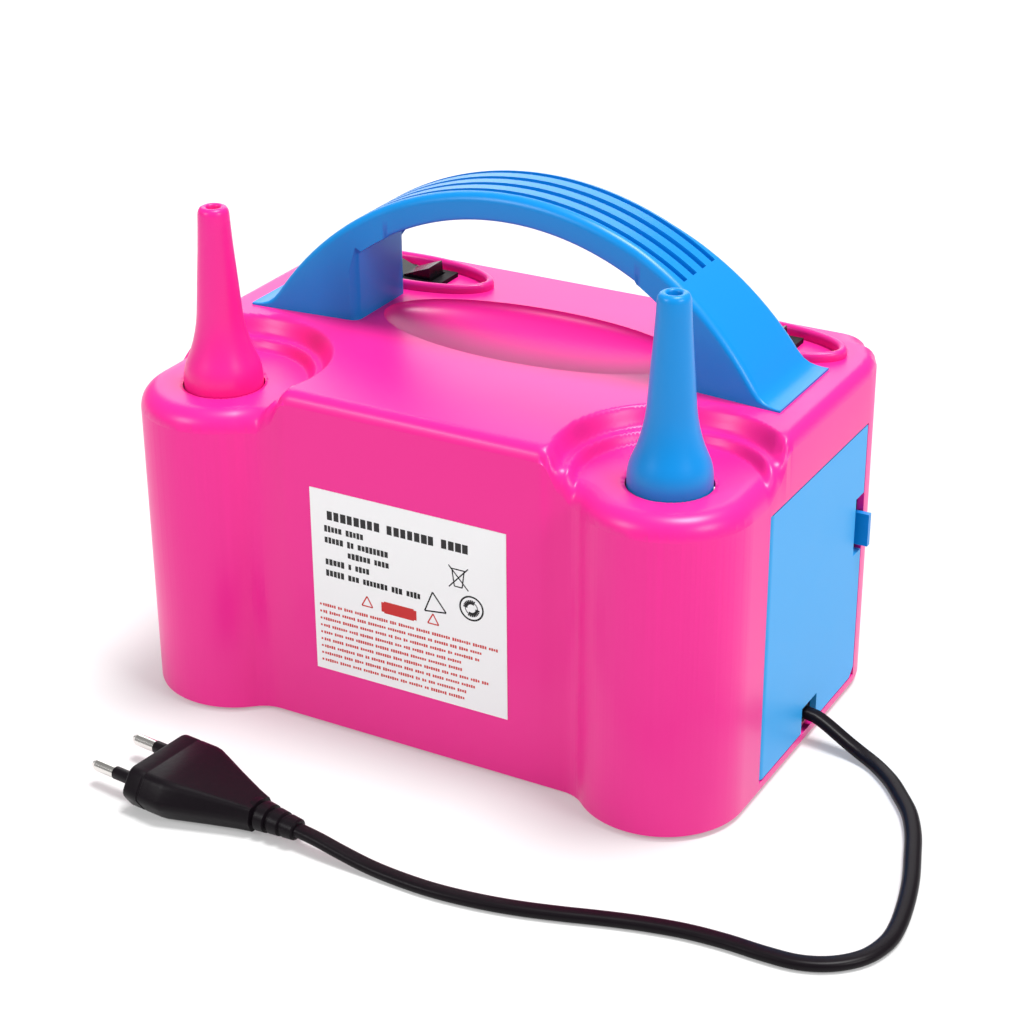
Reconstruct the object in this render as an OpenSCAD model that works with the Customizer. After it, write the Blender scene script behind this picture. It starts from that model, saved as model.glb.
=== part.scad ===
// Twin-nozzle electric balloon pump, resting on its feet at z = 0, front towards -Y.
// The origin is the middle of the footprint on the surface that the pump stands on.

/* [Casing] */
// Width across the two round towers
body_w = 215; // [200:1:240]
// Depth from the towers' fronts to the rear wall
body_d = 144; // [138:1:160]
// Height of the flat top
body_h = 118; // [112:1:130]
// Height of the two lower tower tops
tower_h = 108.5; // [100:0.5:110]
// Radius of each round tower
tower_r = 27.3; // [24:0.1:30]
// Distance of the flat front face behind the towers' fronts
front_setback = 10.6; // [8:0.1:14]
// Radius of the hollow between a tower and the front face
valley_r = 12; // [8:1:14]
// Radius of the rounded rear corners
rear_r = 27; // [20:1:30]
// Thickness of the moulded walls
wall = 2.5; // [2:0.1:3]
// Height of the casing's lower edge above the surface
skirt_gap = 1; // [0.5:0.1:2]

/* [Handle] */
// Distance of each handle foot's outer end from the middle
foot_out = 97; // [92:1:99]
// Distance of each handle leg's inner face from the middle
leg_in = 57; // [50:1:62]
// Half the depth of the grip
grip_half = 14.5; // [12:0.5:16]
// Half the depth of each foot at its outer end
foot_half = 19.3; // [16:0.1:20]
// Height of the grip's top
handle_top = 170; // [160:1:180]
// Radius of the grip's top arc
arc_top_r = 106; // [104:1:110]
// Radius of the grip's lower arc
arc_under_r = 92; // [88:1:95]
// Height of the grip's underside in the middle
arc_under_top = 161; // [155:1:162]

/* [Nozzles] */
// Height of a nozzle's tip above the surface
nozzle_top = 168; // [150:1:175]
// Radius of a nozzle's wide collar
collar_r = 12.9; // [12:0.1:14]
// Radius of a nozzle's outlet bore
outlet_r = 2.2; // [1.5:0.1:3]
// Press travel of a nozzle
press_travel = 3; // [2:0.5:3]

/* [Cord door] */
// Depth of the cord door
door_d = 77; // [70:1:78]
// Height of the cord door
door_h = 92.5; // [85:0.5:94]
// Thickness of the cord door
door_t = 2.2; // [2:0.1:3]

/* [Cord] */
// Width of the flat cord
cord_w = 5.4; // [5:0.1:6]
// Thickness of the flat cord
cord_t = 3.4; // [3:0.1:3.5]
// Turn of the plug away from the pump's width
plug_turn = 6; // [0:1:12]

/* [Label] */
// Width of the sticker
label_w = 71; // [60:1:75]
// Height of the sticker
label_h = 65; // [50:1:70]

/* [Hidden] */
$fn = 96;
side_x = body_w / 2;
rear_y = body_d / 2;
tower_x = side_x - tower_r;
tower_y = -rear_y + tower_r;
front_y = -rear_y + front_setback;
// centre of each hollow, touching the tower and the front face
valley_y = front_y - valley_r;
valley_x = tower_x - sqrt(pow(tower_r + valley_r, 2) - pow(valley_y - tower_y, 2));
roof_z = body_h - wall;
tower_roof_z = tower_h - wall;
ledge_r = tower_r + 5.7;
tower_edge = 7;
guide_r = collar_r + 0.5;
handle_y = 15.8;
handle_arc_z = handle_top - arc_top_r;
under_arc_z = arc_under_top - arc_under_r;
plate_t = 3;
plate_z = skirt_gap + plate_t;
plate_gap = 0.2;
dish_a = 55;
dish_b = 23.5;
dish_y = 16.5;
dish_depth = 9;
seat_x = 65;
seat_y = 46.8;
seat_a = 33;
seat_b = 13.7;
seat_rim = 3;
seat_lip = 3;
seat_floor_z = body_h - 0.6;
switch_w = 28;
switch_d = 13;
post_r = 3.6;
pilot_r = 1.35;
screw_r = 1.3;
// post centres, with the height of the roof above each
posts = [
    [92, 55, roof_z], [94.5, -56.5, tower_roof_z], [0, -55.2, roof_z],
    [0, 66.5, roof_z], [-94.5, -56.5, tower_roof_z], [-92, 55, roof_z]
];
feet = [[76, 50], [60, -46], [-60, -46], [-76, 50]];
handle_screws_x = [64, 80];
// blower layout, one on each side of the middle
fan_x = 37;
fan_y = 16;
fan_z = 10;
cup_r = 33;
cup_h = 22;
cup_wall = 2;
cover_z = fan_z + cup_h;
duct_z = fan_z + 12;
duct_len = norm([tower_x - fan_x, tower_y - fan_y]);
duct_turn = atan2(tower_y - fan_y, tower_x - fan_x);
spigot_r = 9;
riser_r = 11.5;
riser_bore = 9.5;

shaft_r = 2.5;
// nozzle heights
flange_z = 95;
riser_top = flange_z - 3 * press_travel;
collar_z = 98;
stem_z = 76;
// door and compartment
door_y0 = -31.8;
door_z0 = 4.8;
door_gap = 0.5;
hinge_x = side_x - 2.4;
hinge_y = door_y0 + 2.4;
pin_r = 1.2;
lug_r = 2.05;
notch_y0 = 1;
notch_y1 = 13;
notch_top = 14.5;
tray_x0 = 84;
tray_y0 = -24;
tray_y1 = 43;
tray_z1 = 96;
latch_y0 = 39;
latch_z0 = 53;
latch_h = 20;
latch_len = 5.8;
gland_x = 82;
gland_y = 7;
gland_z = 10;
gland_end = 106;
// cord route along its middle, from the gland to the plug's boot
cord_z = 1.75;
ROUTE = [
    [106, 7, 10], [110, 7, 9.4], [114, 6.5, 7.9], [118.5, 5.5, 6], [123, 4.5, 4.1], [128, 3, 2.6],
    [134, 0, cord_z], [141, -6, cord_z], [147, -13, cord_z], [153, -21, cord_z], [158, -31, cord_z],
    [162, -42, cord_z], [166, -54, cord_z], [169, -66, cord_z], [171, -78, cord_z], [171, -87, cord_z],
    [168, -96, cord_z], [161.5, -103, cord_z], [153, -107, cord_z], [143, -108, cord_z],
    [131, -108, cord_z], [119, -109, cord_z], [107, -111.5, cord_z], [95, -115, cord_z],
    [83, -119, cord_z], [71, -122.5, cord_z], [59, -125, cord_z], [46, -126.5, cord_z],
    [34, -126.5, cord_z], [23, -126, 2.2], [13, -125.5, 3.6], [4, -124.8, 5], [-4, -124, 5.6]
];
plug_end = ROUTE[len(ROUTE) - 1];

pink = "#f8389e";
blue = "#1492ea";
door_blue = "#52adee";
black = "#26212a";

// ---------- shared shapes ----------

// Both sides of a shape that is drawn on the +X side.
module both_sides() {
    children();
    mirror([1, 0, 0]) children();
}

// One side's copy: +1 keeps the +X side, -1 mirrors it.
module on_side(side) {
    if (side > 0) children();
    else mirror([1, 0, 0]) children();
}

module ring(outer, inner, height) {
    difference() {
        cylinder(r = outer, h = height);
        translate([0, 0, -1]) cylinder(r = inner, h = height + 2);
    }
}

// Plan of the casing, drawn inwards by an inset.
module plan(inset) {
    both_sides() {
        translate([tower_x, tower_y]) circle(r = tower_r - inset);
        translate([side_x - rear_r, rear_y - rear_r]) circle(r = rear_r - inset);
        difference() {
            polygon([
                [-1, tower_y], [-1, front_y + inset], [valley_x, front_y + inset],
                [valley_x, valley_y], [tower_x, tower_y]
            ]);
            translate([valley_x, valley_y]) circle(r = valley_r + inset);
        }
        translate([-1, tower_y - 1]) square([side_x - inset + 1, rear_y - rear_r - tower_y + 1]);
        translate([-1, tower_y - 1]) square([side_x - rear_r + 1, rear_y - inset - tower_y + 1]);
    }
}

// Oval of a switch seat, drawn inwards by an inset.
module seat_oval(inset) {
    scale([(seat_a - inset) / (seat_b - inset), 1]) circle(r = seat_b - inset);
}

// ---------- casing ----------

// Main block with its upper edges rounded, before the tower ledges are cut.
module plateau_block() {
    edge = 6;
    steps = [0, 30, 60, 90];
    hull() {
        for (a = steps)
            translate([0, 0, body_h - edge + edge * sin(a) - 0.02])
                linear_extrude(0.02) block_plan(edge * (1 - cos(a)));
        translate([0, 0, tower_h - 20]) linear_extrude(0.1) block_plan(0);
    }
}

// Convex plan of the block that carries the plateau.
module block_plan(inset) {
    front_corner = 7;
    for (x = [-1, 1]) {
        translate([x * (side_x - rear_r), rear_y - rear_r]) circle(r = rear_r - inset, $fn = 64);
        translate([x * (side_x - front_corner), front_y + front_corner])
            circle(r = front_corner - inset, $fn = 32);
    }
}

module tower_shape() {
    rotate_extrude() {
        square([tower_r, tower_h - skirt_gap - tower_edge]);
        square([tower_r - tower_edge, tower_h - skirt_gap]);
        translate([tower_r - tower_edge, tower_h - skirt_gap - tower_edge]) circle(r = tower_edge);
    }
}

module casing_outside() {
    translate([0, 0, skirt_gap]) linear_extrude(tower_h - skirt_gap - tower_edge) plan(0);
    both_sides() translate([tower_x, tower_y, skirt_gap]) tower_shape();
    difference() {
        plateau_block();
        both_sides() translate([tower_x, tower_y, tower_h]) cylinder(r = ledge_r, h = 40);
        both_sides() tower_front_waste();
    }
}

// What the plain block has too much of in front of a tower's middle.
module tower_front_waste() {
    translate([0, 0, tower_h - 30]) linear_extrude(60) difference() {
        translate([0, -rear_y - 10]) square([side_x + 10, rear_y + 10 + tower_y]);
        plan(0);
    }
    translate([0, 0, tower_h - tower_edge]) linear_extrude(40) intersection() {
        translate([0, -rear_y - 10]) square([side_x + 10, rear_y + 10 + tower_y]);
        translate([tower_x, tower_y]) circle(r = ledge_r);
    }
}

module casing_inside() {
    ledge_floor_z = tower_h - tower_edge - wall;
    difference() {
        translate([0, 0, -1]) linear_extrude(tower_roof_z + 1) plan(wall);
        // solid step round the front of each tower
        both_sides() translate([tower_x, tower_y, ledge_floor_z])
            ring(ledge_r + wall, tower_r - tower_edge, tower_h);
    }
    difference() {
        translate([0, 0, tower_roof_z - 1]) linear_extrude(roof_z - tower_roof_z + 1) difference() {
            plan(wall + 3);
            both_sides() translate([tower_x, tower_y]) circle(r = ledge_r + wall);
        }
        translate([0, dish_y, body_h]) dish(wall);
    }
}

// Shallow finger dish under the grip, grown outwards by an offset.
module dish(grow) {
    scale([dish_a + grow, dish_b + grow, dish_depth + grow]) sphere(r = 1, $fn = 48);
}

module casing_posts() {
    intersection() {
        translate([0, 0, skirt_gap + 0.5]) linear_extrude(body_h) plan(wall / 2);
        for (p = posts) translate([p[0], p[1], plate_z]) cylinder(r = post_r, h = p[2] - plate_z + 1);
    }
}

module upper_casing() {
    color(pink) difference() {
        union() {
            difference() {
                casing_outside();
                casing_inside();
            }
            casing_posts();
            hinge_lugs();
            // guide collars that the nozzles slide in
            both_sides() translate([tower_x, tower_y, collar_z + 1.5])
                cylinder(r = guide_r + 2, h = tower_roof_z - collar_z - 1);
            // raised rims round the switch seats
            both_sides() translate([seat_x, seat_y, roof_z])
                linear_extrude(wall + seat_lip) seat_oval(0);
        }
        translate([0, dish_y, body_h]) dish(0);
        both_sides() {
            translate([tower_x, tower_y, collar_z]) cylinder(r = guide_r, h = 20);
            translate([seat_x, seat_y, seat_floor_z]) linear_extrude(10) seat_oval(seat_rim);
            translate([seat_x - switch_w / 2, seat_y - switch_d / 2, roof_z - 1])
                cube([switch_w, switch_d, 10]);
            for (x = handle_screws_x)
                translate([x, handle_y, roof_z - 2]) cylinder(r = 1.7, h = 10, $fn = 32);
            rear_vents();
        }
        for (p = posts) translate([p[0], p[1], 0]) cylinder(r = pilot_r, h = 20, $fn = 32);
        door_opening();
        hinge_pin_holes();
    }
}

// Cooling slots in the rear wall.
module rear_vents() {
    for (row = [0 : 6])
        translate([fan_x - 16, rear_y - wall - 1, 42 + row * 6]) cube([32, wall + 2, 2.4]);
}

module hinge_pin_holes() {
    translate([hinge_x, hinge_y, -1]) cylinder(r = pin_r + 0.05, h = tower_h - 6.5);
}

// Lugs above and below the door that hold its hinge pins.
module hinge_lugs() {
    translate([hinge_x, hinge_y, skirt_gap]) cylinder(r = lug_r, h = door_z0 - skirt_gap);
    translate([hinge_x, hinge_y, door_z0 + door_h + door_gap]) cylinder(r = lug_r, h = 5);
}

module door_opening() {
    translate([side_x - 4.6, door_y0 - door_gap, door_z0])
        cube([10, door_d + 2 * door_gap, door_h + door_gap]);
}

module base_plate() {
    color(pink) difference() {
        union() {
            translate([0, 0, skirt_gap]) linear_extrude(plate_t) difference() {
                plan(wall + plate_gap);
                door_foot_clearance();
            }
            both_sides() {
                for (a = [30, 150, 270])
                    translate([fan_x, fan_y, 0]) rotate(a) translate([28, 0, plate_z])
                        cylinder(r = 3, h = fan_z - plate_z);
                translate([tower_x, tower_y, plate_z]) cylinder(r = 6, h = fan_z - plate_z);
            }
        }
        both_sides() translate([fan_x, fan_y, 0]) intake_slots();
        for (p = posts) translate([p[0], p[1], 0]) {
            cylinder(r = 1.7, h = 10, $fn = 32);
            translate([0, 0, -1]) cylinder(r = 3.3, h = skirt_gap + 2.4, $fn = 32);
        }
        for (f = feet) translate([f[0], f[1], 0]) cylinder(r = 7.2, h = skirt_gap + 1.2);
        hinge_pin_holes();
    }
}

// Plan of the strip that stays free for the door's lower edge.
module door_foot_clearance() {
    translate([side_x - 4.5, door_y0 - 1]) square([10, door_d + 2]);
}

// Round intake grille under a fan.
module intake_slots() {
    for (k = [-3 : 3]) {
        half = sqrt(18 * 18 - 25 * k * k);
        translate([-half, k * 5 - 1.4, 0]) cube([2 * half, 2.8, 10]);
    }
}

module rubber_feet() {
    color(black) for (f = feet) translate([f[0], f[1], 0]) cylinder(r = 7, h = skirt_gap + 1.2);
}

module casing_screws() {
    color("silver") for (p = posts) translate([p[0], p[1], skirt_gap + 0.2]) {
        difference() {
            cylinder(r = 3, h = 1.2, $fn = 32);
            translate([-2, -0.4, -1]) cube([4, 0.8, 1.6]);
            translate([-0.4, -2, -1]) cube([0.8, 4, 1.6]);
        }
        cylinder(r = screw_r, h = 16, $fn = 32);
    }
}

// ---------- handle ----------

// Side outline of the handle, drawn in X and Z.
module handle_outline() {
    foot_x = sqrt(pow(arc_top_r, 2) - pow(body_h + 0.6 - handle_arc_z, 2));
    difference() {
        union() {
            intersection() {
                translate([0, handle_arc_z]) circle(r = arc_top_r, $fn = 128);
                translate([-foot_out, body_h]) square([2 * foot_out, 100]);
            }
            for (s = [-1, 1]) translate([s > 0 ? foot_x - 3 : -foot_out, body_h])
                square([foot_out - foot_x + 3, 0.8]);
        }
        intersection() {
            translate([0, under_arc_z]) circle(r = arc_under_r, $fn = 128);
            translate([-leg_in, body_h - 1]) square([2 * leg_in, 100]);
        }
    }
}

// Plan of the handle: a straight grip that widens to each foot.
module handle_plan() {
    flare_x = leg_in - 12;
    polygon([
        [-flare_x, -grip_half], [flare_x, -grip_half], [foot_out, -foot_half], [foot_out, foot_half],
        [flare_x, grip_half], [-flare_x, grip_half], [-foot_out, foot_half], [-foot_out, -foot_half]
    ]);
}

module carry_handle() {
    color(blue) difference() {
        intersection() {
            translate([0, handle_y + 30, 0]) rotate([90, 0, 0]) linear_extrude(60) handle_outline();
            translate([0, handle_y, body_h]) linear_extrude(80) handle_plan();
        }
        // four grip grooves along the top
        for (k = [-1.5, -0.5, 0.5, 1.5])
            translate([0, handle_y + k * 6.8, handle_arc_z])
                rotate([90, 0, 0]) grip_groove(62 - abs(k));
        both_sides() for (x = handle_screws_x)
            translate([x, handle_y, body_h - 1]) cylinder(r = pilot_r, h = 12, $fn = 32);
    }
}

// One groove of the grip, to its reach on each side of the middle.
module grip_groove(reach) {
    depth = 1.8;
    width = 2.8;
    translate([0, 0, -width / 2]) intersection() {
        ring(arc_top_r + 5, arc_top_r - depth, width);
        translate([-reach, 0, -1]) cube([2 * reach, 200, width + 2]);
    }
}

module handle_screws() {
    color("silver") both_sides() for (x = handle_screws_x) translate([x, handle_y, roof_z]) {
        translate([0, 0, -1.6]) cylinder(r = 3, h = 1.6, $fn = 32);
        translate([0, 0, -1.6]) cylinder(r = screw_r, h = 12.5, $fn = 32);
    }
}

module rating_label() {
    color("white") translate([-37, front_y - 0.25, 22.5]) cube([label_w, 0.25, label_h]);
}

// ---------- cord door ----------

module cord_door() {
    color(door_blue) difference() {
        union() {
            translate([side_x - door_t, hinge_y, door_z0 + door_gap])
                cube([door_t, door_y0 + door_d - hinge_y, door_h - door_gap]);
            translate([hinge_x, hinge_y, door_z0 + door_gap]) cylinder(r = 2.4, h = door_h - door_gap);
            latch_keeper();
        }
        translate([hinge_x, hinge_y, 0]) cylinder(r = pin_r + 0.06, h = 200);
        translate([side_x - 10, notch_y0, 0]) cube([20, notch_y1 - notch_y0, notch_top]);
        // free corner at the lower rear
        translate([side_x - 10, door_y0 + door_d, door_z0]) rotate([45, 0, 0])
            cube([20, 5, 5], center = true);
        // window for the latch
        translate([side_x - door_t - 1, latch_y0 - 0.3, latch_z0 - 0.3])
            cube([20, 20, latch_h + 0.6]);
    }
}

// Bridge behind the door that keeps the sliding latch in place.
module latch_keeper() {
    bar_x = side_x - door_t - 4.3;
    for (z = [latch_z0 - 2.2, latch_z0 + latch_h + 0.3])
        translate([bar_x, latch_y0 + 1, z]) cube([4.8, 3, 1.9]);
    translate([bar_x, latch_y0 + 1, latch_z0 - 2]) cube([1.6, 3, latch_h + 4]);
}

module door_hinge_pins() {
    color("silver") {
        translate([hinge_x, hinge_y, door_z0 - 2]) cylinder(r = pin_r, h = 9);
        translate([hinge_x, hinge_y, door_z0 + door_h - 6]) cylinder(r = pin_r, h = 8.5);
    }
}

module door_latch() {
    tab_h = 11.5;
    plate_x = side_x - door_t - 2.4;
    color(blue) {
        translate([plate_x, latch_y0 + 2.2, latch_z0]) cube([1.6, latch_len, latch_h]);
        // finger tab that stands out of the door
        translate([plate_x, latch_y0 + 4.2, latch_z0 + 2]) cube([side_x + 3 - plate_x, 2, tab_h]);
    }
}

module cord_compartment() {
    t = 1.6;
    x1 = side_x - 7.2;
    color(black) difference() {
        translate([tray_x0, tray_y0, plate_z])
            cube([x1 - tray_x0, tray_y1 - tray_y0, tray_z1 - plate_z]);
        translate([tray_x0 + t, tray_y0 + t, plate_z + t])
            cube([40, tray_y1 - tray_y0 - 2 * t, tray_z1 - plate_z - 2 * t]);
        translate([0, gland_y, gland_z]) rotate([0, 90, 0]) cylinder(r = 4, h = 200);
    }
}

module cord_gland() {
    color(black) translate([gland_x, gland_y, gland_z]) rotate([0, 90, 0]) {
        cylinder(r = 5, h = tray_x0 - gland_x);
        cylinder(r = 3.95, h = 5);
        translate([0, 0, tray_x0 + 1.6 - gland_x]) cylinder(r = 4.3, h = 2);
        translate([0, 0, tray_x0 + 3.6 - gland_x])
            cylinder(r1 = 4.4, r2 = 3.3, h = gland_end - tray_x0 - 3.6);
    }
}

// ---------- cord and plug ----------

// Direction of the route at point i, from its neighbours.
function heading(i) = let (
    a = ROUTE[max(i - 1, 0)],
    b = ROUTE[min(i + 1, len(ROUTE) - 1)]
) (b - a) / norm(b - a);

// One ring of the flat cord: eight points round route point i.
function cord_ring(i) = let (
    d = heading(i),
    across = cross([0, 0, 1], d) / norm(cross([0, 0, 1], d)),
    up = cross(d, across),
    flat = (cord_w - cord_t) / 2
) [for (k = [0 : 7]) let (
    a = 22.5 + 45 * k,
    shift = cos(a) > 0 ? flat : -flat,
    w = cord_t / 2 / cos(22.5) * cos(a) + shift,
    h = cord_t / 2 / cos(22.5) * sin(a)
) ROUTE[i] + across * w + up * h];

module power_cord() {
    sides = 8;
    rings = len(ROUTE);
    points = [for (i = [0 : rings - 1]) for (p = cord_ring(i)) p];
    faces = concat(
        [[for (k = [0 : sides - 1]) k]],
        [for (i = [0 : rings - 2]) for (k = [0 : sides - 1]) for (f = [0, 1]) let (
            a = i * sides + k,
            b = i * sides + (k + 1) % sides
        ) f == 0 ? [b + sides, b, a] : [a + sides, b + sides, a]],
        [[for (k = [sides - 1 : -1 : 0]) (rings - 1) * sides + k]]
    );
    color(black) polyhedron(points = points, faces = faces);
}

// Places a shape that is drawn along +X from the boot's end to the pins.
module on_plug() {
    translate(plug_end) rotate([0, 0, 180 - plug_turn]) children();
}

module plug_body() {
    boot = 17;
    body = 40;
    rise = 7 - plug_end[2];
    color(black) on_plug() {
        rotate([0, 90, 0]) cylinder(r1 = 3.4, r2 = 4.6, h = boot);
        hull() {
            translate([boot - 1, -6, -4.4]) cube([1, 12, 9]);
            translate([boot + body - 14, 0, rise]) rotate([0, 90, 0]) plug_face(1);
            translate([boot + body - 1, 0, rise]) rotate([0, 90, 0]) plug_face(1);
        }
    }
}

// Flattened six-sided face of the plug.
module plug_face(thickness) {
    half_t = 6.85;
    linear_extrude(thickness)
        polygon([[-half_t, -13], [0, -17.6], [half_t, -13], [half_t, 13], [0, 17.6], [-half_t, 13]]);
}

module plug_pins() {
    color("silver") on_plug() for (y = [-9.3, 9.3])
        translate([57, y, 7 - plug_end[2]]) rotate([0, 90, 0]) {
            cylinder(r = 2, h = 17.5);
            translate([0, 0, 17.5]) cylinder(r1 = 2, r2 = 1.2, h = 1.5);
        }
}

module terminal_block() {
    color("ivory") difference() {
        translate([56, 52, plate_z]) cube([22, 9, 10]);
        for (k = [0 : 2]) translate([60 + 7 * k, 56.5, plate_z + 5]) cylinder(r = 2, h = 10);
    }
}

// Lead inside the casing, from the gland to the terminal block.
module mains_lead() {
    lead_r = 1.8;
    bend_x = 75;
    color(black) {
        translate([bend_x, gland_y, gland_z]) {
            rotate([0, 90, 0]) cylinder(r = lead_r, h = gland_x - bend_x);
            sphere(r = lead_r);
            rotate([-90, 0, 0]) cylinder(r = lead_r, h = 52 - gland_y);
        }
    }
}

// ---------- nozzles and air ducts ----------

// Outer profile of a nozzle: collar, round shoulder and slim taper.
module nozzle_profile() {
    polygon([
        [0, flange_z], [collar_r, flange_z], [collar_r, 111.5], [12.6, 114], [11.6, 117],
        [10.2, 120], [8.9, 124], [8, 128], [7.4, 132], [6.7, 142], [5.1, nozzle_top - 1.5],
        [4.2, nozzle_top - 0.4], [3.2, nozzle_top], [0, nozzle_top]
    ]);
    translate([0, stem_z]) square([9, collar_z - stem_z]);
    translate([0, collar_z - 1]) square([guide_r + 1.4, 2.2]);
}

module nozzle() {
    lug = 20;
    translate([tower_x, tower_y, 0]) {
        difference() {
            rotate_extrude() nozzle_profile();
            translate([0, 0, stem_z - 1]) cylinder(r = 7.4, h = 36);
            translate([0, 0, stem_z + 34])
                cylinder(r1 = 7.4, r2 = outlet_r + 0.8, h = nozzle_top - stem_z - 44);
            translate([0, 0, nozzle_top - 11]) cylinder(r = outlet_r, h = 20);
            translate([0, 0, stem_z + 6]) ring(12, 8.1, 2);
        }
        // lug that works the trigger switch
        difference() {
            translate([-lug, -2.5, flange_z]) cube([lug, 5, 2]);
            cylinder(r = 9.5, h = 200);
        }
    }
}

module nozzle_seal() {
    translate([tower_x, tower_y, stem_z + 6]) ring(9.4, 8.1, 2);
}

// Return spring between the air duct's rim and the nozzle's flange.
module nozzle_spring() {
    wire_r = 0.6;
    coil_r = 10.6;
    low = riser_top + wire_r;
    high = flange_z - wire_r - 0.1;
    turns = 4;
    per_turn = 12;
    steps = turns * per_turn;
    sides = 6;
    points = [for (i = [0 : steps]) let (a = 360 * i / per_turn, z = low + (high - low) * i / steps)
        for (k = [0 : sides - 1]) let (b = 360 * k / sides, r = coil_r + wire_r * cos(b))
            [r * cos(a), r * sin(a), z + wire_r * sin(b)]];
    faces = concat(
        [[for (k = [0 : sides - 1]) k]],
        [for (i = [0 : steps - 1]) for (k = [0 : sides - 1]) for (f = [0, 1]) let (
            a = i * sides + k,
            b = i * sides + (k + 1) % sides
        ) f == 0 ? [a, b + sides, b] : [a, a + sides, b + sides]],
        [[for (k = [sides - 1 : -1 : 0]) steps * sides + k]]
    );
    color("silver") translate([tower_x, tower_y, 0]) polyhedron(points = points, faces = faces);
}

module air_duct() {
    translate([tower_x, tower_y, 0]) difference() {
        union() {
            translate([0, 0, fan_z]) cylinder(r = riser_r, h = riser_top - fan_z);
            translate([0, 0, riser_top - 2]) cylinder(r = 12.6, h = 2);
            translate([0, 0, duct_z]) rotate([0, 0, duct_turn + 180]) rotate([0, 90, 0])
                cylinder(r = 11, h = duct_len - cup_r - 1.2);
            // shelf for the trigger switch
            translate([-22, -10, riser_top - 12]) cube([14, 20, 3]);
        }
        translate([0, 0, fan_z + 2]) cylinder(r = riser_bore, h = 100);
        translate([0, 0, duct_z]) rotate([0, 0, duct_turn + 180]) rotate([0, 90, 0])
            cylinder(r = spigot_r + 0.05, h = duct_len);
    }
}

module trigger_switch() {
    translate([tower_x - 18.5, tower_y, riser_top - 9]) difference() {
        translate([-3.2, -10, 0]) cube([6.4, 20, 10]);
        translate([0, 0, 3]) cylinder(r = 1.3, h = 10, $fn = 32);
        for (y = [-7, 7]) translate([-5, y, 3]) rotate([0, 90, 0]) cylinder(r = 1.2, h = 10, $fn = 32);
    }
}

module trigger_button() {
    translate([tower_x - 18.5, tower_y, riser_top - 2.8]) cylinder(r = 1.24, h = 11.5, $fn = 32);
}

// ---------- blowers ----------

module at_fan() {
    translate([fan_x, fan_y, 0]) children();
}

module fan_housing() {
    at_fan() difference() {
        union() {
            translate([0, 0, fan_z]) cylinder(r = cup_r, h = cup_h);
            translate([0, 0, duct_z]) rotate([0, 0, duct_turn]) rotate([0, 90, 0])
                cylinder(r = spigot_r, h = cup_r + 11);
        }
        translate([0, 0, fan_z + cup_wall]) cylinder(r = cup_r - cup_wall, h = cup_h);
        translate([0, 0, fan_z - 1]) cylinder(r = 15, h = 10);
        translate([0, 0, duct_z]) rotate([0, 0, duct_turn]) rotate([0, 90, 0])
            cylinder(r = spigot_r - 1.5, h = cup_r + 12);
    }
}

module fan_cover() {
    at_fan() difference() {
        union() {
            translate([0, 0, cover_z]) cylinder(r = cup_r, h = cup_wall);
            translate([0, 0, cover_z]) cylinder(r = 9, h = 6);
        }
        translate([0, 0, cover_z + 1]) cylinder(r = 6, h = 10);
        translate([0, 0, cover_z - 1]) cylinder(r = 3.2, h = 10);
    }
}

module impeller() {
    at_fan() difference() {
        union() {
            translate([0, 0, fan_z + 5]) cylinder(r = 5, h = 15);
            translate([0, 0, fan_z + 17]) cylinder(r = 28, h = 1.5);
            for (a = [0 : 40 : 320])
                rotate(a) translate([8, 0, fan_z + 5]) rotate([0, 0, -20]) cube([20, 1.2, 12.5]);
        }
        translate([0, 0, fan_z]) cylinder(r = shaft_r, h = 40);
    }
}

module stator() {
    at_fan() translate([0, 0, 46]) difference() {
        cylinder(r = 22, h = 22);
        translate([0, 0, -1]) cylinder(r = 13.5, h = 30);
        for (a = [45 : 90 : 315]) rotate(a) translate([21, 0, -1]) cylinder(r = 1.8, h = 30, $fn = 32);
    }
}

module field_coils() {
    at_fan() for (z = [40.5, 68]) translate([0, 0, z]) ring(20.5, 14.5, 5.5);
}

module armature() {
    at_fan() {
        translate([0, 0, fan_z + 5]) cylinder(r = shaft_r, h = 96.5 - fan_z - 5);
        translate([0, 0, 46]) difference() {
            cylinder(r = 13, h = 22);
            for (a = [0 : 30 : 330]) rotate(a) translate([12.6, 0, -1]) cylinder(r = 0.8, h = 30, $fn = 24);
        }
        for (z = [41, 68]) translate([0, 0, z]) cylinder(r = 11, h = 5);
    }
}

module commutator() {
    at_fan() translate([0, 0, 76]) difference() {
        cylinder(r = 6, h = 10);
        translate([0, 0, -1]) cylinder(r = shaft_r, h = 20);
        for (a = [0 : 30 : 330]) rotate(a) translate([5.4, -0.2, -1]) cube([2, 0.4, 20]);
    }
}

module bearings() {
    at_fan() {
        translate([0, 0, cover_z + 1]) ring(6, shaft_r + 0.05, 5);
        translate([0, 0, 90]) ring(6, shaft_r + 0.05, 5);
    }
}

module brush_holders() {
    at_fan() for (s = [0, 180]) rotate(s) translate([6.4, -3.5, 78]) cube([13, 7, 6]);
}

module motor_bracket() {
    at_fan() difference() {
        union() {
            translate([-9, -27, 88.5]) cube([18, 54, 3]);
            translate([0, 0, 88.5]) cylinder(r = 9, h = 7.5);
            for (y = [-27, 22]) translate([-7, y, cover_z + cup_wall])
                cube([14, 5, 88.5 - cover_z - cup_wall]);
            for (s = [0, 180]) rotate(s) translate([19.4, -3.5, 76]) cube([2, 7, 13]);
            translate([-21.4, -3.5, 86.5]) cube([42.8, 7, 2.5]);
        }
        translate([0, 0, 40]) cylinder(r = 22, h = 45);
        translate([0, 0, 90]) cylinder(r = 6, h = 10);
        translate([0, 0, 80]) cylinder(r = 3.2, h = 20);
        for (s = [0, 180]) rotate(s) translate([6, -3.5, 78]) cube([13.4, 7, 6]);
    }
}

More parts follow.
